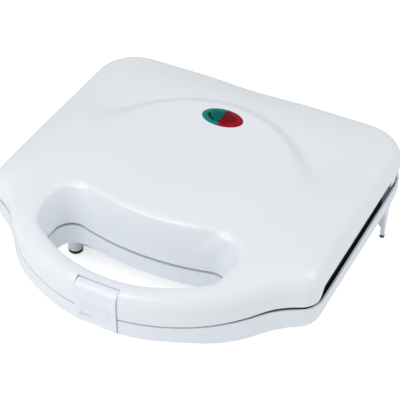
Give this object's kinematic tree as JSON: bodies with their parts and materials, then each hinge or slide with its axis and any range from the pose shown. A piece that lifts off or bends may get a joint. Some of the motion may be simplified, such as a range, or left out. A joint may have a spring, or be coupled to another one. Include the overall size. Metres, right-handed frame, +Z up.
{
  "type": "sandwich toaster",
  "caption": "Closed two-slice sandwich toaster: moulded shell lid with scooped finger opening and raised disc, hinged base, pocketed cooking plates, oval lamp window and a handle latch.",
  "frame": {"origin": "middle of the closed toaster's outline, on the surface that the feet stand on", "axes": "+Z up, +Y towards the hinge side, -Y towards the handle, +X to the right seen from the handle"},
  "size_m": [0.23, 0.2266, 0.0799],
  "materials": {
    "base_shell": "smooth gloss",
    "lower_plate": "dark non-stick coating",
    "lower_heater": "heat-darkened steel tube",
    "lower_heater_clips": "bare strip",
    "lower_reflector": "bright sheet",
    "lower_plate_screws": "countersunk, zinc",
    "thermostat": "ceramic",
    "thermal_fuse": "sleeved",
    "terminal_block": "moulded",
    "base_wiring": "insulated wire",
    "cord_gland": "smooth",
    "front_feet": "matt rubber",
    "rear_feet": "matt rubber",
    "left_hinge_bracket": "zinc plated",
    "right_hinge_bracket": "zinc plated",
    "left_hinge_pin": "polished pin",
    "right_hinge_pin": "polished pin",
    "hinge_bracket_screws": "zinc plated",
    "lead_tube": "plain tube",
    "lid_shell": "smooth gloss",
    "upper_plate": "dark non-stick coating",
    "upper_heater": "heat-darkened steel tube",
    "upper_heater_clips": "bare strip",
    "upper_reflector": "bright sheet",
    "upper_plate_screws": "countersunk, zinc",
    "left_hinge_arm": "zinc plated",
    "right_hinge_arm": "zinc plated",
    "hinge_arm_screws": "zinc plated",
    "green_lens": "tinted clear",
    "red_lens": "tinted clear",
    "lamp_holder": "moulded",
    "green_lamp": "small neon lamp",
    "red_lamp": "small neon lamp",
    "lid_wiring": "sleeved leads",
    "latch_clip": "smooth with fine ribs",
    "latch_pin": "polished pin"
  },
  "bodies": {
    "base": {"base_shell": "base_shell", "lower_plate": "lower_plate", "lower_heater": "lower_heater", "lower_heater_clips": "lower_heater_clips", "lower_reflector": "lower_reflector", "lower_plate_screws": "lower_plate_screws", "thermostat": "thermostat", "thermal_fuse": "thermal_fuse", "terminal_block": "terminal_block", "base_wiring": "base_wiring", "cord_gland": "cord_gland", "front_feet": "front_feet", "rear_feet": "rear_feet", "left_hinge_bracket": "left_hinge_bracket", "right_hinge_bracket": "right_hinge_bracket", "left_hinge_pin": "left_hinge_pin", "right_hinge_pin": "right_hinge_pin", "hinge_bracket_screws": "hinge_bracket_screws", "lead_tube": "lead_tube"},
    "lid": {"lid_shell": "lid_shell", "upper_plate": "upper_plate", "upper_heater": "upper_heater", "upper_heater_clips": "upper_heater_clips", "upper_reflector": "upper_reflector", "upper_plate_screws": "upper_plate_screws", "left_hinge_arm": "left_hinge_arm", "right_hinge_arm": "right_hinge_arm", "hinge_arm_screws": "hinge_arm_screws", "green_lens": "green_lens", "red_lens": "red_lens", "lamp_holder": "lamp_holder", "green_lamp": "green_lamp", "red_lamp": "red_lamp", "lid_wiring": "lid_wiring", "latch_pin": "latch_pin"},
    "latch": {"latch_clip": "latch_clip"}
  },
  "joints": [
    {"name": "lid_hinge", "type": "hinge", "parent": "base", "child": "lid", "pos_m": [0, 0.1058, 0.046], "axis": [-1, 0, 0], "range_deg": [0, 100]},
    {"name": "latch_hinge", "type": "hinge", "parent": "lid", "child": "latch", "pos_m": [0, -0.1073, 0.0576], "axis": [-1, 0, 0], "range_deg": [0, 40]}
  ]
}
